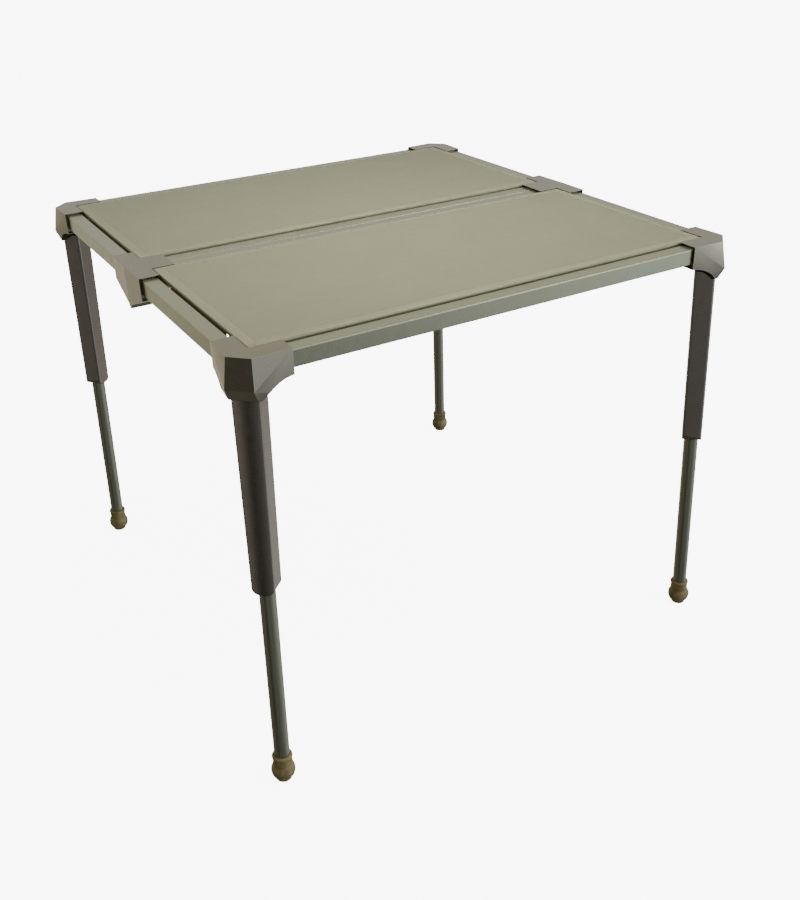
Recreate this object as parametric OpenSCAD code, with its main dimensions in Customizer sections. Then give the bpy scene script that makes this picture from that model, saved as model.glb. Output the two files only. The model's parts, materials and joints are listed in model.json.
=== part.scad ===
// Folding camping table. Two framed half tops are hinged along the centre and fold
// suitcase fashion, and a telescopic leg folds into the underside at each corner.
// +X runs along the long rails, +Y from the near half to the far half, +Z up.
// The origin is on the floor under the middle of the table top. Millimetres.

/* [Table] */
// Width across the outer faces of the side rails
table_w = 824; // [760:1:960]
// Depth across the outer faces of the two long rails
table_d = 835; // [780:1:960]
// Height of the table top above the floor
table_h = 700; // [680:1:740]

/* [Rails] */
// Side of the square rail tube
rail = 25; // [24:0.5:27]
// Wall of the rail tube
rail_wall = 1.5; // [1.2:0.1:2]
// Outer corner radius of the rail tube
rail_r = 2; // [1:0.25:3]
// Step from the table top down to the top of the rails
rail_drop = 4; // [3:0.25:5]
// Thickness of the ledge that carries the panel
ledge_t = 2; // [1.5:0.25:2.5]
// Width of the ledge on the long rails and the centre rails
ledge_w = 12; // [11.5:0.5:14]
// Width of the ledge on the side rails
side_ledge_w = 7; // [6:0.5:8]
// Gap between a ledge and the casting or hinge block beside it
ledge_stop = 2; // [1:0.5:4]

/* [Panels] */
// Gap between a panel and the rails around it
panel_gap = 3.5; // [2.5:0.25:5]
// Thickness of the panel skin
panel_skin = 3; // [2:0.25:4]
// Depth of the panel's edge and ribs below the skin
skirt_h = 12; // [11.5:0.25:12.5]
// Thickness of the panel's edge
skirt_t = 2.5; // [2:0.25:3.5]
// Thickness of the ribs under the panel
rib_t = 2; // [1.5:0.25:3]
// Radius along the panel's upper edges
panel_edge_r = 2.5; // [1:0.25:3]
// Rows of cells between the ribs across the width
cells_x = 10; // [8:1:14]
// Rows of cells between the ribs across one half's depth
cells_y = 5; // [4:1:8]
// Length of the notches in the side edges of a panel
notch_l = 14.5; // [10:0.5:20]
// Height of the notches
notch_h = 9; // [6:0.5:11]
// Distance from a hinge block's mouth to the notch beside it
block_notch = 25; // [14:0.5:34]
// Distance from a casting's mouth to the notch beside it
casting_notch = 16.5; // [12:0.5:26]

/* [Corner castings] */
// Length of a casting's arms from the crossing of the rails' outer faces
cast_arm = 74; // [72:1:90]
// How far the rails reach into their sockets
rail_insert = 20; // [14:1:21]
// Height of a sleeve at its mouth
mouth_h = 36; // [35:0.5:40]
// How far a casting stands proud of the rail at its mouth
mouth_flare = 4; // [3.5:0.25:5]
// How far the top of a casting stands proud of the rail beside the facet
top_flare = 6.6; // [5:0.1:8]
// Distance from the corner along the rail to the top of the facet
top_facet = 17.8; // [16:0.1:20]
// How far the widest part of a casting stands proud of the rail
wide_flare = 13.8; // [12:0.1:15]
// Distance from the corner along the rail to the facet at the widest part
wide_facet = 14.3; // [13.5:0.1:16]
// Depth of the widest part below the table top
wide_drop = 42; // [38:0.5:46]
// How far the underside of a casting stands proud of the rail
low_flare = 7.5; // [6:0.1:9]
// Distance from the corner along the rail to the bottom of the facet
low_facet = 21.2; // [20:0.1:23]
// Height of a casting at the corner
cast_h = 59; // [57:0.5:61]
// Radius of the hollow curve under each arm
arm_curve_r = 60; // [58:1:70]
// Wall of a sleeve on the panel side
sleeve_wall = 2.2; // [1.5:0.1:2.8]
// Width of the dark relief round the rail at a mouth
relief = 2.9; // [2:0.1:3]
// Depth of the relief at a mouth
relief_l = 7; // [4:0.5:7.5]
// Thickness of the lip under the relief
relief_lip = 1.2; // [1:0.1:2]
// Distance from the leg pivot to the wide part of the pocket
pocket_start = 17.5; // [17:0.25:18]

/* [Hinge blocks] */
// Length of a hinge block's arms from the seam and from the side face
block_arm = 64; // [62:1:80]
// How far a hinge block stands proud of the rail at the seam
seam_flare = 5.5; // [4.5:0.25:7]
// Half of the gap between the two halves
seam_gap = 0.2; // [0.15:0.05:0.5]
// Wall between the seam and a centre rail
seam_wall = 1.2; // [1:0.1:2]
// Depth of the hinge axis below the table top
hinge_drop = 59; // [57:0.5:62]
// Radius of the hinge knuckles
knuckle_r = 7; // [6.5:0.25:8]
// Diameter of the hinge pin
hinge_pin_d = 6; // [4:0.5:7]
// Diameter of the hinge pin's head
hinge_head_d = 10; // [8:0.5:11]
// Thickness of the hinge pin's head
hinge_head_t = 2; // [1.5:0.25:3]
// How far the outer knuckle stands back from the block's outer face
knuckle_step = 0.6; // [0.4:0.1:1]
// Length of the outer knuckle along the pin
knuckle_outer = 8.5; // [7:0.5:10]
// Length of the inner knuckle along the pin
knuckle_inner = 8; // [6:0.5:10]

/* [Legs] */
// Outward lean of a leg, in degrees
leg_splay = 2.2; // [1.8:0.1:2.6]
// Distance of the leg pivot from the corner along the diagonal
pivot_inset = 38; // [37.5:0.1:38.5]
// Depth of the leg pivot below the table top
pivot_drop = 28; // [27.5:0.1:28.5]
// Diameter of the pivot pin
pivot_d = 8; // [6:0.5:9]
// Length of the pivot pin
pivot_l = 38; // [34:0.5:39]
// Radius of the leg head's eye
eye_r = 10; // [9:0.25:10]
// Width of the leg head's eye and tongue
tongue_w = 24; // [20:0.5:25]
// Distance of the housing's outer face from the pivot
face_x = 25; // [24.5:0.25:25.5]
// Depth of the housing from its outer face to its back
housing_depth = 33; // [32.5:0.25:33.5]
// Width of the housing at its top
housing_w_top = 39.5; // [38:0.25:39.5]
// Width of the housing at its lower end
housing_w_low = 34.5; // [33:0.25:36]
// Distance from the pivot down to the housing's top
housing_start = 38; // [37:0.5:42]
// Length of the housing
housing_l = 287; // [270:1:300]
// Radius of the two rounded corners at the housing's lower end
housing_low_r = 11; // [8:0.5:13]
// Bulge of the housing's outer face
housing_crown = 1.6; // [1:0.1:2.5]
// Radius of the housing's long edges
housing_r = 3.5; // [3:0.25:4]
// Distance of the tongue's face behind the housing's outer face
tongue_back = 6.6; // [6.4:0.1:7.5]
// Radius cut from the collar round the pivot, which lets the leg fold
fold_room = 22; // [21.5:0.25:22.5]
// Gap between a casting and the collar under it
collar_gap = 1.5; // [1:0.1:2.5]
// Diameter of the lower leg tube
tube_d = 24; // [22:0.5:24.5]
// Wall of the lower leg tube
tube_wall = 1.5; // [1:0.1:2]
// Distance of the tube's axis behind the housing's outer face
tube_back = 17.5; // [17:0.25:18]
// Length of tube that stays inside the housing
tube_overlap = 34; // [32:1:60]
// Wall of the guide bush
bush_wall = 1.6; // [1.2:0.1:2]
// Length of the guide bush
bush_l = 28; // [16:1:29]
// Width of the lip that keeps the guide bush in the housing
bush_lip = 2; // [1.5:0.25:3]
// Length of the leg head's spigot inside the housing
spigot_l = 24; // [16:1:30]
// Length of the plug above the tube
plug_l = 10; // [6:1:14]
// Length of the plug's spigot inside the tube
plug_spigot_l = 14; // [8:1:24]

/* [Feet] */
// Diameter of the foot's ball
foot_d = 37.5; // [34:0.5:42]
// Height of a foot
foot_h = 48; // [44:1:56]
// Diameter of the foot's collar
foot_collar_d = 32; // [30:0.5:34]
// Diameter of the foot between ball and collar
foot_waist_d = 30; // [28:0.5:31]
// How far the ball is flattened by the floor
foot_flat = 1.2; // [0.6:0.1:2]
// Depth of the tube in the foot
foot_socket = 34; // [24:1:38]

/* [Fasteners] */
// Diameter of the rivets that hold the rails
rivet_d = 4; // [3:0.25:5]
// Diameter of the rivet heads
rivet_head_d = 8; // [6:0.25:9]
// Height of the rivet heads
rivet_dome = 2; // [1:0.1:2.4]
// Distance of a rivet from the mouth of its sleeve
rivet_back = 11; // [10:0.25:13]
// Diameter of the panel screws
screw_d = 3; // [2.5:0.25:3.5]
// Diameter of the panel screws' heads
screw_head_d = 6; // [5:0.25:6.5]
// Height of the panel screws' heads
screw_head_h = 2; // [1.5:0.25:2.5]
// Length of the panel screws under the head
screw_l = 10; // [7:0.5:11]
// Distance from a panel's middle to its outer screws
screw_x = 270; // [150:5:280]

/* [Clearances] */
// Clearance round a rail in its socket
socket_gap = 0.15; // [0.1:0.01:0.25]
// Radial clearance of a pin, a tube or a bush in its bore
fit = 0.08; // [0.05:0.01:0.1]
// Side clearance between parts that turn against each other
side_gap = 0.5; // [0.3:0.05:0.8]
// Clearance round the tongue and the folded housing in a casting's pocket
pocket_gap = 1.6; // [1.4:0.1:2]
// Radial clearance round a rivet's head
rivet_room = 0.6; // [0.3:0.1:0.8]
// Radial clearance of a panel screw in its ledge
screw_room = 0.3; // [0.2:0.05:0.4]
// Radial clearance of the tube at the housing's lower end
tube_room = 0.6; // [0.3:0.1:0.8]

/* [Hidden] */
$fn = 48;
corners = [
  ["near_left", -1, -1],
  ["near_right", 1, -1],
  ["far_left", -1, 1],
  ["far_right", 1, 1]
];
halves = [["near", -1], ["far", 1]];
sides = [["left", -1], ["right", 1]];
corner_parts = [
  "side_rail", "corner_casting", "hinge_block", "leg_pivot_pin", "leg_head",
  "leg_housing", "guide_bush", "leg_tube", "tube_plug", "foot"
];
half_parts = ["long_rail", "centre_rail", "panel", "panel_screws", "frame_rivets"];

root2 = sqrt(2);
eps = 0.01;

rail_top = table_h - rail_drop;
rail_low = rail_top - rail;
skirt_low = table_h - panel_skin - skirt_h;
mouth_low = table_h - mouth_h;
cast_low = table_h - cast_h;
hinge_z = table_h - hinge_drop;
pivot_z = table_h - pivot_drop;
sleeve_in = rail + socket_gap + sleeve_wall;
seam_rail = seam_gap + seam_wall + socket_gap;
barrel_start = knuckle_step - seam_flare;

corner_rail_a = cast_arm - rail_insert;
block_rail_a = block_arm - rail_insert;

panel_x = table_w / 2 - rail - panel_gap;
panel_y_in = seam_rail + rail + panel_gap;
panel_y_out = table_d / 2 - rail - panel_gap;

back_x = face_x - housing_depth;
tube_x = face_x - tube_back;
housing_low = -housing_start - housing_l;
axis_floor = (pivot_z + tube_x * sin(leg_splay)) / cos(leg_splay);
bore_d = tube_d + 2 * (bush_wall + 2 * fit);
tube_top = housing_low + tube_overlap;
foot_base = -axis_floor;
slot_w = tongue_w + 2 * side_gap;
pocket_w = housing_w_top + 2 * side_gap;
tongue_x = face_x - tongue_back;
dark = [0.2, 0.19, 0.17];
olive = [0.6, 0.59, 0.51];
bronze = [0.57, 0.54, 0.48];
rubber = [0.4, 0.36, 0.2];
steel = [0.7, 0.7, 0.68];

// Places its children at one corner: +X and +Y then run inward from the crossing
// of the rails' outer faces.
module at_corner(side, end) {
  translate([side * table_w / 2, end * table_d / 2, 0])
    mirror([side > 0 ? 1 : 0, 0, 0])
      mirror([0, end > 0 ? 1 : 0, 0])
        children();
}

// Places its children at one end of the hinge line: +X runs inward from the side
// rail's outer face, and +Y away from the seam.
module at_hinge(side, end) {
  translate([side * table_w / 2, 0, 0])
    mirror([side > 0 ? 1 : 0, 0, 0])
      mirror([0, end < 0 ? 1 : 0, 0])
        children();
}

// Places its children on a leg pivot: +X points outward along the diagonal.
module at_pivot(side, end) {
  at_corner(side, end)
    translate([pivot_inset / root2, pivot_inset / root2, pivot_z])
      rotate([0, 0, 225])
        children();
}

// Places its children in a leg: +Z runs up the leg, and the pivot is the origin.
module in_leg(side, end) {
  at_pivot(side, end)
    rotate([0, -leg_splay, 0])
      children();
}

// Extrudes an outline drawn in X and Z along Y, centred.
module across(width) {
  rotate([90, 0, 0])
    linear_extrude(height = width, center = true)
      children();
}

// Extrudes an outline drawn in Y and Z along X.
module along_x(x0, x1) {
  translate([x0, 0, 0])
    rotate([90, 0, 90])
      linear_extrude(height = x1 - x0)
        children();
}

module box(low, high) {
  translate(low)
    cube(high - low);
}

module rounded_square(w, h, r) {
  translate([r, 0])
    square([w - 2 * r, h]);
  translate([0, r])
    square([w, h - 2 * r]);
  for (x = [r, w - r])
    for (y = [r, h - r])
      translate([x, y])
        circle(r);
}

// Section of a rail: the outer face is at zero, and the panel side is positive.
module rail_section() {
  difference() {
    translate([0, rail_low])
      rounded_square(rail, rail, rail_r);
    translate([rail_wall, rail_low + rail_wall])
      square(rail - 2 * rail_wall);
  }
}

// A rail along X: the tube runs the full length, and the ledge stops short of the
// castings or blocks at both ends.
module rail_along_x(half_l, ledge_half_l) {
  along_x(-half_l, half_l)
    rail_section();
  along_x(-ledge_half_l, ledge_half_l)
    translate([rail - eps, skirt_low - ledge_t])
      square([ledge_w + eps, ledge_t]);
}

module rivet_hole() {
  translate([0, 0, mouth_low - cast_h])
    cylinder(h = cast_h, d = rivet_head_d + 2 * rivet_room);
  translate([0, 0, mouth_low - eps])
    cylinder(h = rail_low + rail_wall - mouth_low + 1, d = rivet_d + 2 * fit);
}

// Rivets go up through the sleeve's lower wall and the rail's lower wall.
module rivet() {
  head_r = rivet_head_d / 2;
  dome_r = (head_r * head_r + rivet_dome * rivet_dome) / (2 * rivet_dome);
  intersection() {
    translate([0, 0, mouth_low - rivet_dome + dome_r])
      sphere(dome_r);
    translate([0, 0, mouth_low - rivet_dome])
      cylinder(h = rivet_dome, r = head_r);
  }
  translate([0, 0, mouth_low - eps])
    cylinder(h = rail_low + rail_wall - mouth_low + 2, d = rivet_d);
  translate([0, 0, rail_low + rail_wall])
    cylinder(h = rivet_dome, d = rivet_d + rivet_dome);
}

module screw_places(end) {
  for (x = [-screw_x, 0, screw_x])
    for (y = [panel_y_in + skirt_t + screw_d / 2, panel_y_out - skirt_t - screw_d / 2])
      translate([x, end * y, 0])
        children();
}

module corner_rivet_places() {
  for (p = [[cast_arm - rivet_back, rail / 2], [rail / 2, cast_arm - rivet_back]])
    translate([p[0], p[1], 0])
      children();
}

module hinge_rivet_places() {
  for (p = [[rail / 2, block_arm - rivet_back], [block_arm - rivet_back, seam_rail + rail / 2]])
    translate([p[0], p[1], 0])
      children();
}

module long_rail(end) {
  color(olive)
    difference() {
      translate([0, end * table_d / 2, 0])
        mirror([0, end > 0 ? 1 : 0, 0])
          rail_along_x(table_w / 2 - corner_rail_a, table_w / 2 - cast_arm - ledge_stop);
      for (side = [-1, 1])
        at_corner(side, end)
          translate([cast_arm - rivet_back, rail / 2, 0])
            rivet_hole();
      screw_places(end)
        translate([0, 0, skirt_low - 2 * ledge_t])
          cylinder(h = 3 * ledge_t, d = screw_d + 2 * screw_room);
    }
}

module centre_rail(end) {
  color(olive)
    difference() {
      mirror([0, end < 0 ? 1 : 0, 0])
        translate([0, seam_rail, 0])
          rail_along_x(table_w / 2 - block_rail_a, table_w / 2 - block_arm - ledge_stop);
      for (side = [-1, 1])
        at_hinge(side, end)
          translate([block_arm - rivet_back, seam_rail + rail / 2, 0])
            rivet_hole();
      screw_places(end)
        translate([0, 0, skirt_low - 2 * ledge_t])
          cylinder(h = 3 * ledge_t, d = screw_d + 2 * screw_room);
    }
}

module side_rail(side, end) {
  y_out = table_d / 2 - corner_rail_a;
  color(olive)
    at_hinge(side, end)
      difference() {
        union() {
          translate([0, y_out, 0])
            rotate([90, 0, 0])
              linear_extrude(height = y_out - block_rail_a)
                rail_section();
          box(
            [rail - eps, block_arm + ledge_stop, skirt_low - ledge_t],
            [rail + side_ledge_w, table_d / 2 - cast_arm - ledge_stop, skirt_low]
          );
        }
        translate([rail / 2, block_arm - rivet_back, 0])
          rivet_hole();
        translate([rail / 2, table_d / 2 - cast_arm + rivet_back, 0])
          rivet_hole();
      }
}

// Outline of a panel in one vertical plane, with rounded upper edges.
module panel_outline(low, high) {
  r = panel_edge_r;
  translate([low, skirt_low])
    square([high - low, table_h - r - skirt_low]);
  translate([low + r, skirt_low])
    square([high - low - 2 * r, table_h - skirt_low]);
  for (x = [low + r, high - r])
    translate([x, table_h - r])
      circle(r);
}

// The open cells between the ribs, cut from below.
module panel_cells() {
  cell_w = (2 * panel_x - 2 * skirt_t + rib_t) / cells_x;
  cell_d = (panel_y_out - panel_y_in - 2 * skirt_t + rib_t) / cells_y;
  for (i = [0 : cells_x - 1])
    for (j = [0 : cells_y - 1])
      translate([
        -panel_x + skirt_t + i * cell_w,
        panel_y_in + skirt_t + j * cell_d,
        skirt_low - 1
      ])
        cube([cell_w - rib_t, cell_d - rib_t, skirt_h + 1]);
}

module panel_notches() {
  for (x = [-panel_x, panel_x])
    for (y = [block_arm + block_notch, table_d / 2 - cast_arm - casting_notch - notch_l])
      translate([x - skirt_t - 1, y, skirt_low - 1])
        cube([2 * skirt_t + 2, notch_l, notch_h + 1]);
}

module panel(end) {
  boss_r = skirt_t / 2 + screw_d;
  color(olive)
    mirror([0, end < 0 ? 1 : 0, 0])
      difference() {
        intersection() {
          translate([0, (panel_y_in + panel_y_out) / 2, 0])
            across(panel_y_out - panel_y_in)
              panel_outline(-panel_x, panel_x);
          along_x(-panel_x, panel_x)
            panel_outline(panel_y_in, panel_y_out);
        }
        difference() {
          panel_cells();
          screw_places(1)
            translate([0, 0, skirt_low - 2])
              cylinder(h = skirt_h + 3, r = boss_r);
        }
        screw_places(1)
          translate([0, 0, skirt_low - 2])
            cylinder(h = screw_l + 2, d = screw_d + 2 * fit);
        panel_notches();
      }
}

module panel_screws(end) {
  color(steel)
    screw_places(end) {
      translate([0, 0, skirt_low - ledge_t - screw_head_h])
        cylinder(h = screw_head_h, d = screw_head_d);
      translate([0, 0, skirt_low - ledge_t - eps])
        cylinder(h = screw_l, d = screw_d);
    }
}

module frame_rivets(end) {
  color(steel)
    for (side = [-1, 1]) {
      at_corner(side, end)
        corner_rivet_places()
          rivet();
      at_hinge(side, end)
        hinge_rivet_places()
          rivet();
    }
}

// A rail's socket seen from its mouth: the rail runs along X from a0 to the mouth,
// and its outer face is at y0.
module socket(a0, mouth, y0) {
  g = socket_gap;
  box([a0 - g, y0 - g, rail_low - g], [mouth + 1, y0 + rail + g, rail_top + g]);
}

// The relief round the rail at a mouth. It stops short of the panel side.
module mouth_relief(mouth, y0, outer) {
  box(
    [mouth - relief_l, y0 - outer, mouth_low + relief_lip],
    [mouth + 1, y0 + rail + socket_gap, rail_top + relief]
  );
}

// Outline of a casting at one height, in the corner's axes: every outline has the
// same mouths, and its own flare and facet at the corner.
module casting_slice(z, flare, facet) {
  translate([0, 0, z])
    linear_extrude(height = eps)
      polygon([
        [-mouth_flare, cast_arm],
        [-flare, facet],
        [facet, -flare],
        [cast_arm, -mouth_flare],
        [cast_arm, cast_arm]
      ]);
}

// The hollow curve under the arm that runs along X.
module arm_hollow() {
  across(2 * table_d)
    translate([cast_arm, mouth_low - arm_curve_r])
      circle(arm_curve_r, $fn = 96);
}

// Outer form of a casting: its faces flare to the widest part and turn back in under it.
module casting_form() {
  difference() {
    hull() {
      casting_slice(table_h - eps, top_flare, top_facet);
      casting_slice(table_h - wide_drop, wide_flare, wide_facet);
      casting_slice(cast_low, low_flare, low_facet);
    }
    box([sleeve_in, sleeve_in, cast_low - 1], [cast_arm + 1, cast_arm + 1, table_h + 1]);
    arm_hollow();
    mirror([1, -1, 0])
      arm_hollow();
  }
}

// Room for the leg's eye and tongue, and for the housing when the leg is folded.
module leg_pocket() {
  room = eye_r + 1.6 * side_gap;
  across(slot_w) {
    circle(room);
    polygon([
      [room, 0],
      [tongue_x + 2 * pocket_gap, -fold_room - eye_r],
      [tongue_x + 2 * pocket_gap, -cast_h],
      [0, -cast_h],
      [0, 0]
    ]);
    translate([-cast_arm, -cast_h])
      square([cast_arm, cast_h + room]);
  }
  translate([-cast_arm, -pocket_w / 2, -cast_h])
    cube([cast_arm - pocket_start, pocket_w, cast_h - back_x + pocket_gap]);
}

module pivot_bore(length) {
  rotate([90, 0, 0])
    cylinder(h = length, d = pivot_d + 2 * fit, center = true);
}

module corner_casting(side, end) {
  color(bronze)
    difference() {
      at_corner(side, end)
        difference() {
          casting_form();
          socket(corner_rail_a, cast_arm, 0);
          mouth_relief(cast_arm, 0, relief);
          mirror([1, -1, 0]) {
            socket(corner_rail_a, cast_arm, 0);
            mouth_relief(cast_arm, 0, relief);
          }
          corner_rivet_places()
            rivet_hole();
        }
      at_pivot(side, end) {
        leg_pocket();
        pivot_bore(pivot_l + 2 * side_gap);
      }
    }
}

module leg_pivot_pin(side, end) {
  color(steel)
    at_pivot(side, end)
      rotate([90, 0, 0])
        cylinder(h = pivot_l, d = pivot_d, center = true);
}

// A length of the hinge axis, in the hinge's axes.
module hinge_barrel(x0, x1, r) {
  translate([x0, 0, hinge_z])
    rotate([0, 90, 0])
      cylinder(h = x1 - x0, r = r);
}

// Outer form of a hinge block without its knuckles: an arm round the side rail whose
// lower edge slopes down to the hinge, and an arm round the centre rail.
module block_form() {
  intersection() {
    translate([0, 0, hinge_z])
      linear_extrude(height = hinge_drop)
        polygon([
          [-seam_flare, seam_gap],
          [-mouth_flare, block_arm],
          [sleeve_in, block_arm],
          [sleeve_in, seam_gap]
        ]);
    along_x(-2 * seam_flare, block_arm)
      polygon([
        [seam_gap, table_h],
        [block_arm, table_h],
        [block_arm, mouth_low],
        [0.9 * knuckle_r, hinge_z],
        [seam_gap, hinge_z]
      ]);
  }
  box(
    [sleeve_in - eps, seam_gap, mouth_low],
    [block_arm, seam_rail + rail + socket_gap + sleeve_wall, table_h]
  );
}

module hinge_block(side, end) {
  outer_end = barrel_start + knuckle_outer;
  inner_start = sleeve_in - knuckle_inner;
  color(bronze)
    at_hinge(side, end)
      difference() {
        union() {
          difference() {
            block_form();
            if (end > 0)
              hinge_barrel(outer_end, inner_start, knuckle_r + side_gap);
            if (end < 0) {
              hinge_barrel(-2 * seam_flare, outer_end + side_gap, knuckle_r + side_gap);
              hinge_barrel(inner_start - side_gap, sleeve_in + 1, knuckle_r + side_gap);
            }
          }
          if (end > 0) {
            hinge_barrel(barrel_start, outer_end, knuckle_r);
            hinge_barrel(inner_start, sleeve_in, knuckle_r);
          }
          if (end < 0)
            hinge_barrel(outer_end + side_gap, inner_start - side_gap, knuckle_r);
        }
        hinge_barrel(-2 * seam_flare, sleeve_in + 1, hinge_pin_d / 2 + fit);
        hinge_barrel(-2 * seam_flare, barrel_start + hinge_head_t, hinge_head_d / 2 + fit);
        mirror([1, -1, 0]) {
          socket(block_rail_a, block_arm, 0);
          mouth_relief(block_arm, 0, relief);
        }
        socket(block_rail_a, block_arm, seam_rail);
        mouth_relief(block_arm, seam_rail, socket_gap);
        hinge_rivet_places()
          rivet_hole();
      }
}

module hinge_pin(side) {
  color(steel)
    at_hinge(side, 1) {
      hinge_barrel(barrel_start, barrel_start + hinge_head_t, hinge_head_d / 2);
      hinge_barrel(barrel_start, sleeve_in, hinge_pin_d / 2);
    }
}

// Section of the housing, in the leg's axes: a flat back and a slightly bulged face.
module housing_section(w) {
  r = housing_r;
  c = housing_crown;
  half = w / 2 - r;
  // Radius of the bulge that rises by c over the width between the corners
  bulge_r = (half * half + c * c) / (2 * c);
  bulge_a = asin(half / bulge_r);
  steps = 8;
  offset(r = r)
    polygon(concat(
      [[back_x + r, -half]],
      [for (i = [-steps : steps])
        [
          face_x - r - bulge_r + bulge_r * cos(i * bulge_a / steps),
          bulge_r * sin(i * bulge_a / steps)
        ]
      ],
      [[back_x + r, half]]
    ));
}

// Front view of the housing, in Y and Z: the two lower corners are rounded.
module housing_front() {
  r = housing_low_r;
  low_half = (housing_w_low + (housing_w_top - housing_w_low) * r / housing_l) / 2;
  translate([-housing_w_top, housing_low + r])
    square([2 * housing_w_top, housing_l]);
  translate([r - low_half, housing_low])
    square([2 * (low_half - r), housing_l]);
  for (y = [r - low_half, low_half - r])
    translate([y, housing_low + r])
      circle(r);
}

// The tapered outer form of the housing.
module housing_form() {
  hull() {
    translate([0, 0, -housing_start - eps])
      linear_extrude(height = eps)
        housing_section(housing_w_top);
    translate([0, 0, housing_low])
      linear_extrude(height = eps)
        housing_section(housing_w_low);
  }
}

module leg_housing(side, end) {
  color(dark)
    in_leg(side, end)
      difference() {
        intersection() {
          housing_form();
          along_x(back_x - 1, face_x + 1)
            housing_front();
        }
        translate([tube_x, 0, housing_low - 1])
          cylinder(h = housing_l + 2, d = tube_d + 2 * tube_room);
        translate([tube_x, 0, housing_low + bush_lip])
          cylinder(h = housing_l, d = bore_d);
      }
}

// The head's tongue carries the eye, and its collar follows the casting above it.
module leg_head(side, end) {
  color(dark) {
    difference() {
      in_leg(side, end)
        translate([0, 0, -housing_start])
          linear_extrude(height = housing_start)
            housing_section(housing_w_top);
      at_corner(side, end) {
        translate([0, 0, -collar_gap])
          casting_form();
        rotate([0, 0, 45])
          translate([-cast_arm, -cast_arm, cast_low - collar_gap])
            cube([cast_arm + pivot_inset / 2, 2 * cast_arm, cast_h]);
      }
      in_leg(side, end)
        rotate([90, 0, 0])
          cylinder(h = 2 * housing_w_top, r = fold_room, center = true);
    }
    in_leg(side, end)
      difference() {
        union() {
          across(tongue_w) {
            circle(eye_r);
            polygon([
              [eye_r * cos(20), eye_r * sin(20)],
              [tongue_x, -fold_room - eye_r],
              [tongue_x, -housing_start],
              [back_x + housing_r, -housing_start],
              [-eye_r * cos(35), -eye_r * sin(35)]
            ]);
          }
          translate([tube_x, 0, -housing_start - spigot_l])
            cylinder(h = spigot_l + eps, d = bore_d - 2 * fit);
        }
        pivot_bore(2 * tongue_w);
      }
  }
}

module guide_bush(side, end) {
  color("gray")
    in_leg(side, end)
      translate([tube_x, 0, housing_low + bush_lip])
        difference() {
          cylinder(h = bush_l, d = bore_d - 2 * fit);
          translate([0, 0, -1])
            cylinder(h = bush_l + 2, d = tube_d + 2 * fit);
        }
}

module leg_tube(side, end) {
  low = foot_base + foot_h - foot_socket;
  color(olive)
    in_leg(side, end)
      translate([tube_x, 0, low])
        difference() {
          cylinder(h = tube_top - low, d = tube_d);
          translate([0, 0, -1])
            cylinder(h = tube_top - low + 2, d = tube_d - 2 * tube_wall);
        }
}

module tube_plug(side, end) {
  color("gray")
    in_leg(side, end)
      translate([tube_x, 0, tube_top]) {
        cylinder(h = plug_l, d = bore_d - 2 * fit);
        translate([0, 0, -plug_spigot_l])
          cylinder(h = plug_spigot_l + eps, d = tube_d - 2 * tube_wall - 2 * fit);
      }
}

// Half section of a foot, turned about the leg's axis.
module foot_profile() {
  ball_z = foot_d / 2 - foot_flat;
  lip_r = (foot_collar_d - tube_d) / 2;
  intersection() {
    union() {
      translate([0, ball_z])
        circle(d = foot_d, $fn = 96);
      translate([0, ball_z])
        square([foot_waist_d / 2, foot_h - lip_r - ball_z]);
      translate([tube_d / 2, foot_h - lip_r])
        circle(lip_r);
      square([tube_d / 2, foot_h]);
    }
    translate([0, -foot_d])
      square([foot_d, 3 * foot_d]);
  }
}

module foot(side, end) {
  color(rubber)
    difference() {
      in_leg(side, end)
        translate([tube_x, 0, foot_base])
          difference() {
            rotate_extrude()
              foot_profile();
            translate([0, 0, foot_h - foot_socket])
              cylinder(h = foot_socket + 1, d = tube_d + 2 * fit);
          }
      translate([0, 0, -foot_d])
        box([-table_w, -table_d, 0], [table_w, table_d, foot_d]);
    }
}

for (h = halves)
  long_rail(h[1]);
for (h = halves)
  centre_rail(h[1]);
for (h = halves)
  panel(h[1]);
for (h = halves)
  panel_screws(h[1]);
for (h = halves)
  frame_rivets(h[1]);
for (s = sides)
  hinge_pin(s[1]);
for (c = corners)
  side_rail(c[1], c[2]);
for (c = corners)
  corner_casting(c[1], c[2]);
for (c = corners)
  hinge_block(c[1], c[2]);
for (c = corners)
  leg_pivot_pin(c[1], c[2]);
for (c = corners)
  leg_head(c[1], c[2]);
for (c = corners)
  leg_housing(c[1], c[2]);
for (c = corners)
  guide_bush(c[1], c[2]);
for (c = corners)
  leg_tube(c[1], c[2]);
for (c = corners)
  tube_plug(c[1], c[2]);
for (c = corners)
  foot(c[1], c[2]);
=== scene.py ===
"""Looks of the folding camping table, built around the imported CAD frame."""

import json
import math

import bmesh
import bpy
from mathutils import Matrix, Vector


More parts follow.
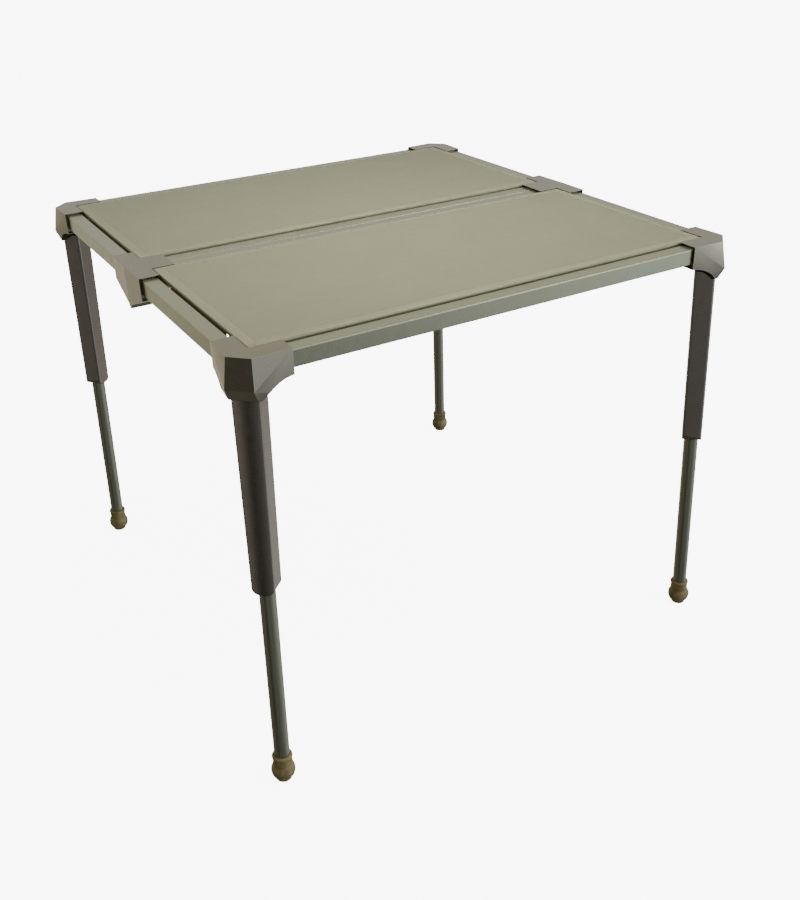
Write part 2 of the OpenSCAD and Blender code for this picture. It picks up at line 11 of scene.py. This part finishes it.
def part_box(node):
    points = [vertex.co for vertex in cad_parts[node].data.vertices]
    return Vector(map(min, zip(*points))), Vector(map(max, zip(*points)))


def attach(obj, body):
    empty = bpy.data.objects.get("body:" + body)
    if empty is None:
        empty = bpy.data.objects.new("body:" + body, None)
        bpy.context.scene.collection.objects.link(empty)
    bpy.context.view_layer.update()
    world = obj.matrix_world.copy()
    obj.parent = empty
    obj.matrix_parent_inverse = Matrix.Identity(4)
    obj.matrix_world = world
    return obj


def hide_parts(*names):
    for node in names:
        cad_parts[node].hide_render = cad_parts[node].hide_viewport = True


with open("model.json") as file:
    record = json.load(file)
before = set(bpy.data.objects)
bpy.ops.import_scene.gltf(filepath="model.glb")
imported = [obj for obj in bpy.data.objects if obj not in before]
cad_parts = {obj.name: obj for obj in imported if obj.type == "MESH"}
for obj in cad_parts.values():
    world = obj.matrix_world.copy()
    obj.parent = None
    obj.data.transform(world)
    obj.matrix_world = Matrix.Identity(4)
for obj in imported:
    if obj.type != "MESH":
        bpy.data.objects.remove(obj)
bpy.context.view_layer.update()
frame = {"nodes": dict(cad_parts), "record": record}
nodes = frame["nodes"]
body_of_node = {
    node_name: body_name
    for body_name, members in frame["record"]["behaviour"]["bodies"].items()
    for node_name in members
}
slot_of_node = {s["node"]: s["material_slot"] for s in frame["record"]["subparts"]}


# Materials

def linear(r, g, b):
    """A linear colour from the 0-255 numbers that a display shows (the sRGB curve)."""
    out = []
    for c in (r, g, b):
        c = c / 255
        out.append(c / 12.92 if c <= 0.04045 else ((c + 0.055) / 1.055) ** 2.4)
    return (*out, 1.0)


def tint(base, factor, lift=0.0):
    """A colour made darker or lighter by a factor, then lifted evenly."""
    return tuple(min(1.0, c * factor + lift) for c in base[:3]) + (1.0,)


class Tree:
    """A material's node tree, with short ways to add the nodes used here."""

    def __init__(self, name):
        self.mat = bpy.data.materials.new(name)
        self.mat.use_nodes = True
        self.tree = self.mat.node_tree
        self.tree.nodes.clear()
        out = self.add("ShaderNodeOutputMaterial")
        self.shader = self.add("ShaderNodeBsdfPrincipled")
        self.link(self.shader.outputs["BSDF"], out.inputs["Surface"])
        self.coords = self.add("ShaderNodeTexCoord").outputs["Object"]

    def add(self, kind):
        return self.tree.nodes.new(kind)

    def link(self, a, b):
        self.tree.links.new(a, b)

    def scaled(self, scale):
        """Object coordinates, in metres, scaled along each axis."""
        node = self.add("ShaderNodeMapping")
        node.inputs["Scale"].default_value = scale
        self.link(self.coords, node.inputs["Vector"])
        return node.outputs["Vector"]

    def noise(self, scale, detail=3.0, rough=0.5, stretch=None):
        """Soft noise with about `scale` cells a metre."""
        node = self.add("ShaderNodeTexNoise")
        node.inputs["Scale"].default_value = scale
        node.inputs["Detail"].default_value = detail
        node.inputs["Roughness"].default_value = rough
        vector = self.scaled(stretch) if stretch else self.coords
        self.link(vector, node.inputs["Vector"])
        return node.outputs["Fac"]

    def spread(self, value, low, high, from_low=0.3, from_high=0.7):
        """Maps a value to low..high and no further; by default from the range where
        most of a noise lies."""
        node = self.add("ShaderNodeMapRange")
        node.inputs["From Min"].default_value = from_low
        node.inputs["From Max"].default_value = from_high
        node.inputs["To Min"].default_value = low
        node.inputs["To Max"].default_value = high
        self.link(value, node.inputs["Value"])
        return node.outputs["Result"]

    def mix(self, factor, a, b):
        """Colour a where the factor is 0 and b where it is 1; each a colour or a socket."""
        node = self.add("ShaderNodeMix")
        node.data_type = "RGBA"
        self.link(factor, node.inputs["Factor"])
        # the colour sockets share their names with the node's other sockets
        first, second, mixed = node.inputs[6], node.inputs[7], node.outputs[2]
        for value, socket in ((a, first), (b, second)):
            if isinstance(value, tuple):
                socket.default_value = value
            else:
                self.link(value, socket)
        return mixed

    def bump(self, height, strength, distance):
        node = self.add("ShaderNodeBump")
        node.inputs["Strength"].default_value = strength
        node.inputs["Distance"].default_value = distance
        self.link(height, node.inputs["Height"])
        return node.outputs["Normal"]

    def edge_mask(self, radius, low, high):
        """1 along edges, where a rounded normal leaves the true one: their dot product
        is under `low` there, and over `high` on flat faces."""
        bevel = self.add("ShaderNodeBevel")
        bevel.samples = 4
        bevel.inputs["Radius"].default_value = radius
        geometry = self.add("ShaderNodeNewGeometry")
        dot = self.add("ShaderNodeVectorMath")
        dot.operation = "DOT_PRODUCT"
        self.link(bevel.outputs["Normal"], dot.inputs[0])
        self.link(geometry.outputs["Normal"], dot.inputs[1])
        return self.spread(dot.outputs["Value"], 1.0, 0.0, low, high)

    def set(self, **values):
        """Sets the shader's inputs, by their names with underscores."""
        for key, value in values.items():
            socket = self.shader.inputs[key.replace("_", " ")]
            if hasattr(value, "links"):
                self.link(value, socket)
            else:
                socket.default_value = value
        return self.mat


def coated(name, base, rough, metallic, grain_depth, edge_highlight_and_wear, pits=0.0):
    """Satin metallic coating: faint clouds, fine grain, and edges painted lighter as a
    highlight and as rubbed wear. With pits, the mesh's `pit` attribute darkens it as painted
    shade in the pits, and only its sides look metallic."""
    t = Tree(name)
    clouds = t.spread(t.noise(14.0, detail=5.0, rough=0.6), 0.0, 1.0)
    colour = t.mix(clouds, tint(base, 0.96), tint(base, 1.04))
    specks = t.spread(t.noise(420.0, detail=2.0), 0.0, 0.5)
    colour = t.mix(specks, colour, tint(base, 0.9))
    if pits:
        pit = t.add("ShaderNodeAttribute")
        pit.attribute_name = "pit"
        # painted shade in the pits: the colour darkens where the mesh's pit attribute is high
        painted_pit_shade = t.spread(pit.outputs["Fac"], 0.0, pits, from_low=0.0, from_high=1.0)
        colour = t.mix(painted_pit_shade, colour, tint(base, 0.3))
        facing = t.add("ShaderNodeSeparateXYZ")
        t.link(t.add("ShaderNodeNewGeometry").outputs["Normal"], facing.inputs["Vector"])
        side_metallic = 0.85
        metallic = t.spread(
            facing.outputs["Z"], side_metallic, metallic, from_low=0.65, from_high=0.88
        )
    # painted highlight along the edges, partly rubbed wear: edges are painted lighter than
    # the face
    edge = t.edge_mask(radius=0.0012, low=0.90, high=0.995)
    edge = t.spread(edge, 0.0, edge_highlight_and_wear, from_low=0.0, from_high=1.0)
    colour = t.mix(edge, colour, tint(base, 1.4, lift=0.02))
    roughness = t.spread(t.noise(60.0, detail=4.0), rough - 0.03, rough + 0.04)
    grain = t.noise(700.0, detail=3.0, rough=0.6)
    normal = t.bump(grain, strength=0.5, distance=grain_depth)
    return t.set(Base_Color=colour, Roughness=roughness, Metallic=metallic, Normal=normal)


def moulded(name, base, rough):
    """Plain moulded plastic with a fine grain and faint flow marks along its length."""
    t = Tree(name)
    flow = t.spread(t.noise(5.0, detail=5.0, rough=0.6, stretch=(1.0, 1.0, 0.25)), 0.0, 1.0)
    colour = t.mix(flow, tint(base, 0.85), tint(base, 1.15))
    roughness = t.spread(t.noise(55.0, detail=4.0), rough - 0.05, rough + 0.06)
    grain = t.noise(1100.0, detail=3.0, rough=0.6)
    normal = t.bump(grain, strength=0.6, distance=0.00006)
    return t.set(Base_Color=colour, Roughness=roughness, Normal=normal)


def drawn_tube(name, base, rough):
    """Coated drawn tube with faint lines along its length."""
    t = Tree(name)
    lines = t.noise(420.0, detail=3.0, rough=0.6, stretch=(1.0, 1.0, 0.015))
    colour = t.mix(t.spread(lines, 0.0, 1.0), tint(base, 0.92), tint(base, 1.08))
    roughness = t.spread(lines, rough - 0.03, rough + 0.05)
    normal = t.bump(lines, strength=0.3, distance=0.00003)
    return t.set(Base_Color=colour, Roughness=roughness, Metallic=0.9, Normal=normal)


def rubbery(name, base):
    """Olive rubber, mottled and a little dusty."""
    t = Tree(name)
    mottle = t.spread(t.noise(55.0, detail=5.0, rough=0.65), 0.0, 1.0)
    colour = t.mix(mottle, tint(base, 0.5), tint(base, 1.35, lift=0.01))
    roughness = t.spread(t.noise(90.0, detail=3.0), 0.5, 0.72)
    normal = t.bump(t.noise(600.0, detail=3.0), strength=0.5, distance=0.0001)
    return t.set(Base_Color=colour, Roughness=roughness, Normal=normal)


def plated(name, base, rough):
    """Plated steel with fine turning marks."""
    t = Tree(name)
    tone = t.spread(t.noise(160.0, detail=4.0), 0.0, 1.0)
    colour = t.mix(tone, tint(base, 0.7), base)
    roughness = t.spread(t.noise(300.0, detail=2.0), rough - 0.06, rough + 0.1)
    normal = t.bump(t.noise(900.0, detail=2.0), strength=0.3, distance=0.00004)
    return t.set(Base_Color=colour, Roughness=roughness, Metallic=1.0, Normal=normal)


def studio_white(name):
    """Pale floor and backdrop, which glow so that they stay pale everywhere."""
    t = Tree(name)
    tone = t.noise(0.8, detail=2.0)
    return t.set(
        Base_Color=t.mix(tone, (0.9, 0.9, 0.9, 1), (0.92, 0.92, 0.92, 1)),
        Roughness=0.9,
        Specular_IOR_Level=0.1,
        Emission_Color=(1, 1, 1, 1),
        Emission_Strength=8.0,
    )


# One material for each slot of the record, with base colours in linear levels.
materials = {
    "frame": coated(
        "frame_paint", (0.37, 0.36, 0.22, 1),
        rough=0.28, metallic=0.85, grain_depth=0.000008, edge_highlight_and_wear=0.2,
    ),
    "panel": coated(
        "panel_paint", (0.30, 0.292, 0.173, 1),
        rough=0.5, metallic=0.3, grain_depth=0.00005, edge_highlight_and_wear=0.1, pits=0.65,
    ),
    "moulding": coated(
        "corner_moulding", (0.31, 0.273, 0.18, 1),
        rough=0.24, metallic=0.92, grain_depth=0.000005, edge_highlight_and_wear=0.5,
    ),
    "leg_cover": coated(
        "leg_cover", (0.29, 0.255, 0.20, 1),
        rough=0.27, metallic=0.92, grain_depth=0.000008, edge_highlight_and_wear=0.05,
    ),
    "tube": drawn_tube("leg_tube", (0.30, 0.29, 0.185, 1), rough=0.34),
    "bush": moulded("bush", (0.026, 0.025, 0.024, 1), rough=0.5),
    "foot": rubbery("foot_rubber", linear(136, 120, 68)),
    "fastener": plated("fastener", linear(190, 188, 182), rough=0.32),
}
for node_name, obj in nodes.items():
    obj.data.materials.clear()
    obj.data.materials.append(materials[slot_of_node[node_name]])


# Camera, solved from the photograph's 800 x 900 frame

image_height_px = 900
focal_length_px = 1022.70
sensor_mm = 36

camera_data = bpy.data.cameras.new("camera")
camera_data.sensor_width = sensor_mm
# the sensor's width lies along the longer side of the image, which is its height
camera_data.sensor_fit = "AUTO"
camera_data.lens = focal_length_px / image_height_px * sensor_mm
camera = bpy.data.objects.new("camera", camera_data)
bpy.context.scene.collection.objects.link(camera)
camera_place = (-0.807679, -1.491944, 1.197684)
camera_right = Vector((0.858532, -0.512095, -0.026113))
camera_up = Vector((0.268586, 0.405738, 0.873635))
camera_back = camera_right.cross(camera_up)
camera_turn = Matrix((camera_right, camera_up, camera_back)).transposed().to_4x4()
camera.matrix_world = Matrix.Translation(camera_place) @ camera_turn
bpy.context.scene.camera = camera


# Lights

def area_light(name, place, target, size, power):
    """A rectangular light that shines from place to target, with its power in watts."""
    data = bpy.data.lights.new(name, "AREA")
    data.shape = "RECTANGLE"
    data.size, data.size_y = size
    data.energy = power
    light = bpy.data.objects.new(name, data)
    bpy.context.scene.collection.objects.link(light)
    light.location = place
    aim = Vector(target) - Vector(place)
    light.rotation_mode = "QUATERNION"
    light.rotation_quaternion = aim.to_track_quat("-Z", "Y")
    light.visible_camera = False
    return light


# The first light only lifts the middle of the top, without a sheen of its own.
top_light = area_light(
    "top", place=(0.02, -0.10, 1.45), target=(0.02, -0.10, 0.7), size=(0.4, 0.4), power=9.5
)
top_light.visible_glossy = False
area_light("edge", place=(1.2, -1.0, 2.2), target=(0, 0, 0.6), size=(0.5, 0.5), power=5)
area_light(
    "right_front", place=(2.6, -2.6, 1.3), target=(0, 0, 0.4), size=(1.4, 2.0), power=10
)


# World: the room round the table, as its satin faces reflect it

# Each entry has a direction, and the room's level at rising cosines of the angle to
# that direction. A level is one number for grey, or a colour. The entries are
# multiplied with each other. Left is -X and near is -Y, as in the nodes' names.
pale_but_dark_low_on_the_left = ((-0.76, -0.36, -0.54), (
    (-1.0, 0.66), (-0.2, 0.68), (0.0, 0.56), (0.12, 0.40), (0.3, 0.26), (0.6, 0.18),
    (0.84, 0.11), (0.93, 0.09), (0.97, 0.055), (1.0, 0.035),
))
bright_at_the_near_right = ((0.66, -0.66, 0.35), (
    (0.60, 1.0), (0.69, 1.0), (0.74, 1.4), (0.79, 2.1), (0.84, 1.6), (0.90, 2.6), (1.0, 1.6),
))
paler_low_on_the_left = ((-0.95, -0.05, -0.40), ((0.965, 1.0), (0.985, 4.0), (1.0, 5.0)))
paler_low_at_the_near_left = ((-0.55, -0.75, -0.38), ((0.92, 1.0), (0.95, 2.0), (1.0, 3.2)))
dark_on_the_right = ((0.97, 0.10, -0.20), ((0.93, 1.0), (0.965, 0.60), (1.0, 0.40)))
cooler_on_the_near_side = ((0.30, -0.90, -0.20), ((0.30, 1.0), (0.85, (0.92, 1.04, 1.30))))
warmer_at_the_far_left = ((-0.40, 0.85, -0.35), ((0.70, 1.0), (0.95, (1.38, 1.30, 1.08))))
surroundings = (
    pale_but_dark_low_on_the_left,
    bright_at_the_near_right,
    paler_low_on_the_left,
    paler_low_at_the_near_left,
    dark_on_the_right,
    cooler_on_the_near_side,
    warmer_at_the_far_left,
)


def ramp_around(tree, coords, direction, stops):
    """A colour ramp over the cosine of the angle between a ray and the direction."""
    cosine = tree.nodes.new("ShaderNodeVectorMath")
    cosine.operation = "DOT_PRODUCT"
    cosine.inputs[1].default_value = Vector(direction).normalized()
    tree.links.new(coords, cosine.inputs[0])
    span = tree.nodes.new("ShaderNodeMapRange")
    span.inputs["From Min"].default_value = -1.0
    span.inputs["From Max"].default_value = 1.0
    tree.links.new(cosine.outputs["Value"], span.inputs["Value"])
    ramp = tree.nodes.new("ShaderNodeValToRGB")
    tree.links.new(span.outputs["Result"], ramp.inputs["Fac"])
    elements = ramp.color_ramp.elements
    while len(elements) < len(stops):
        elements.new(0.5)
    for element, (at, _) in zip(elements, stops):
        element.position = (at + 1) / 2
    for element, (_, level) in zip(elements, stops):
        colour = level if isinstance(level, tuple) else (level, level, level)
        element.color = (*colour, 1)
    return ramp.outputs["Color"]


def studio_world(entries):
    """A world whose colour is the product of all the entries' ramps."""
    world = bpy.data.worlds.new("studio")
    world.use_nodes = True
    tree = world.node_tree
    tree.nodes.clear()
    out = tree.nodes.new("ShaderNodeOutputWorld")
    light = tree.nodes.new("ShaderNodeBackground")
    tree.links.new(light.outputs["Background"], out.inputs["Surface"])
    coords = tree.nodes.new("ShaderNodeTexCoord").outputs["Generated"]
    colour = ramp_around(tree, coords, *entries[0])
    for entry in entries[1:]:
        product = tree.nodes.new("ShaderNodeVectorMath")
        product.operation = "MULTIPLY"
        tree.links.new(colour, product.inputs[0])
        tree.links.new(ramp_around(tree, coords, *entry), product.inputs[1])
        colour = product.outputs["Vector"]
    tree.links.new(colour, light.inputs["Color"])
    return world


bpy.context.scene.world = studio_world(surroundings)


# Floor and backdrop

floor_size = 60
backdrop_radius = 28
backdrop_height = 30

bpy.ops.mesh.primitive_plane_add(size=floor_size, location=(0, 0, 0))
floor = bpy.context.object
floor.name = "floor"
bpy.ops.mesh.primitive_cylinder_add(
    vertices=96,
    radius=backdrop_radius,
    depth=backdrop_height,
    end_fill_type="NOTHING",
    location=(0, 0, backdrop_height / 2),
)
backdrop = bpy.context.object
backdrop.name = "backdrop"
backdrop.visible_shadow = False
white = studio_white("floor")
for piece_of_set in (floor, backdrop):
    piece_of_set.visible_glossy = False
    piece_of_set.visible_diffuse = False
    piece_of_set.data.materials.append(white)


# Panels: the CAD panels with a rounder edge, a smooth border and a field of small pits

# radius of the upper edges, in part.scad and here
cad_roll = 0.0025
roll = 0.0039
# width of the smooth border, and its share of a pit's painted shade
border = 0.0105
border_pit_shade = 0.33
pit_half_pitch = 0.0019
pit_depth = 0.0006
# closer than this, places or heights count as one
same_place = 1e-5
same_height = 1e-6
# edges that bend by more than this many degrees stay sharp
crease = 35


def widen_roll(bm, low, high):
    """Gives the panel's rounded upper edges a larger radius inside its outline."""
    on_the_roll = 2e-4
    lowest_rise = -1e-4
    for v in bm.verts:
        rise = (v.co.z - (high.z - cad_roll)) / cad_roll
        if rise < lowest_rise:
            continue
        reach = 1 - math.sqrt(max(0.0, 1 - min(1.0, rise) ** 2))
        for axis in (0, 1):
            for bound, sign in ((low[axis], 1), (high[axis], -1)):
                inset = (v.co[axis] - bound) * sign
                if abs(inset - cad_roll * reach) < on_the_roll:
                    v.co[axis] = bound + sign * roll * reach
        v.co.z = high.z - roll * (1 - rise)


def open_top(bm, top):
    """Deletes the flat top and returns its extent."""
    flat = [f for f in bm.faces if all(abs(v.co.z - top) < same_height for v in f.verts)]
    rim = {v for f in flat for v in f.verts}
    x0, x1 = min(v.co.x for v in rim), max(v.co.x for v in rim)
    y0, y1 = min(v.co.y for v in rim), max(v.co.y for v in rim)
    bmesh.ops.delete(bm, geom=flat, context="FACES")
    return x0, x1, y0, y1


def pit_field(bm, pit_layer, extent, top):
    """Adds a grid of vertices inside the border, with a pit at every second one of
    every second row, and its triangles. Returns the grid's rows."""
    x0, x1, y0, y1 = extent
    width = x1 - x0 - 2 * border
    length = y1 - y0 - 2 * border
    columns = 2 * round(width / pit_half_pitch / 2)
    rows = 2 * round(length / pit_half_pitch / 2)
    grid = []
    for j in range(rows + 1):
        line = []
        for i in range(columns + 1):
            pit = i % 2 * (j % 2)
            x = x0 + border + width * i / columns
            y = y0 + border + length * j / rows
            vert = bm.verts.new((x, y, top - pit_depth * pit))
            edge = i in (0, columns) or j in (0, rows)
            # painted shade: pit vertices take all of it, the border's vertices a share
            vert[pit_layer] = border_pit_shade if edge else pit
            line.append(vert)
        grid.append(line)
    for j in range(rows):
        for i in range(columns):
            a, b = grid[j][i], grid[j][i + 1]
            c, d = grid[j + 1][i + 1], grid[j + 1][i]
            if (i + j) % 2:
                bm.faces.new((a, b, d))
                bm.faces.new((b, c, d))
            else:
                bm.faces.new((a, b, c))
                bm.faces.new((a, c, d))
    return grid


def smooth_border(bm, pit_layer, extent, top, grid):
    """Adds the four flat strips between the field of pits and the rounded edges."""
    x0, x1, y0, y1 = extent
    corners = [bm.verts.new((x, y, top)) for x, y in ((x0, y0), (x1, y0), (x1, y1), (x0, y1))]
    for vert in corners:
        vert[pit_layer] = border_pit_shade
    sides = (
        grid[0],
        [line[-1] for line in grid],
        grid[-1][::-1],
        [line[0] for line in grid[::-1]],
    )
    for k, side in enumerate(sides):
        bm.faces.new([corners[k], corners[(k + 1) % 4]] + side[::-1])


def dimpled_panel(half):
    """Replaces one CAD panel by its skin with pits."""
    flat_enough = math.radians(0.2)
    low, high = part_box("panel_" + half)
    top = high.z
    bm = bmesh.new()
    bm.from_mesh(nodes["panel_" + half].data)
    bmesh.ops.remove_doubles(bm, verts=bm.verts, dist=same_place)
    widen_roll(bm, low, high)
    extent = open_top(bm, top)
    bmesh.ops.dissolve_limit(bm, angle_limit=flat_enough, verts=bm.verts, edges=bm.edges)
    pit_layer = bm.verts.layers.float.new("pit")
    grid = pit_field(bm, pit_layer, extent, top)
    smooth_border(bm, pit_layer, extent, top, grid)
    upper = [v for v in bm.verts if v.co.z > top - same_height]
    bmesh.ops.remove_doubles(bm, verts=upper, dist=same_place)
    bmesh.ops.recalc_face_normals(bm, faces=bm.faces)
    mesh = bpy.data.meshes.new("panel_skin_" + half)
    bm.to_mesh(mesh)
    bm.free()
    mesh.shade_smooth()
    mesh.set_sharp_from_angle(angle=math.radians(crease))
    mesh.materials.append(materials["panel"])
    panel = bpy.data.objects.new("panel_dimpled_" + half, mesh)
    bpy.context.scene.collection.objects.link(panel)
    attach(panel, body_of_node["panel_" + half])
    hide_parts("panel_" + half)


for half in ("near", "far"):
    dimpled_panel(half)


# Rounded edges of the other pieces

def shading_by_angle(angle):
    """A modifier's node group: smooth faces, with edges above the angle kept sharp."""
    group = bpy.data.node_groups.new("shading_by_angle", "GeometryNodeTree")
    for direction in ("INPUT", "OUTPUT"):
        group.interface.new_socket(
            "Geometry", in_out=direction, socket_type="NodeSocketGeometry"
        )
    start = group.nodes.new("NodeGroupInput")
    end = group.nodes.new("NodeGroupOutput")
    faces = group.nodes.new("GeometryNodeSetShadeSmooth")
    faces.domain = "FACE"
    edges = group.nodes.new("GeometryNodeSetShadeSmooth")
    edges.domain = "EDGE"
    between = group.nodes.new("GeometryNodeInputMeshEdgeAngle")
    small = group.nodes.new("FunctionNodeCompare")
    small.data_type = "FLOAT"
    small.operation = "LESS_EQUAL"
    small.inputs["B"].default_value = math.radians(angle)
    group.links.new(start.outputs[0], faces.inputs["Geometry"])
    group.links.new(faces.outputs["Geometry"], edges.inputs["Geometry"])
    group.links.new(between.outputs["Unsigned Angle"], small.inputs["A"])
    group.links.new(small.outputs["Result"], edges.inputs["Shade Smooth"])
    group.links.new(edges.outputs["Geometry"], end.inputs[0])
    return group


smooth_group = shading_by_angle(crease)


def soften(obj, width):
    """Rounds a CAD piece's crisp edges with modifiers; its mesh isn't touched."""
    flat_enough = math.radians(0.5)
    crisp_enough = math.radians(30)
    weld = obj.modifiers.new("weld", "WELD")
    weld.merge_threshold = same_place
    flatten = obj.modifiers.new("flatten", "DECIMATE")
    flatten.decimate_type = "DISSOLVE"
    flatten.angle_limit = flat_enough
    bevel = obj.modifiers.new("bevel", "BEVEL")
    bevel.limit_method = "ANGLE"
    bevel.angle_limit = crisp_enough
    bevel.width = width
    bevel.segments = 2
    bevel.use_clamp_overlap = True
    bevel.harden_normals = False
    bevel.miter_outer = "MITER_ARC"
    shading = obj.modifiers.new("shading", "NODES")
    shading.node_group = smooth_group
    normals = obj.modifiers.new("normals", "WEIGHTED_NORMAL")
    normals.keep_sharp = True
    normals.weight = 100


# Width of the rounding for each slot, in metres. The bushes keep their edges, and the
# panels' skins have their own.
edge_width = {
    "moulding": 0.0020,
    "leg_cover": 0.0007,
    "tube": 0.0004,
    "foot": 0.0006,
    "fastener": 0.0003,
    "frame": 0.0011,
}
for node_name, obj in nodes.items():
    slot = slot_of_node[node_name]
    if slot in edge_width:
        soften(obj, edge_width[slot])
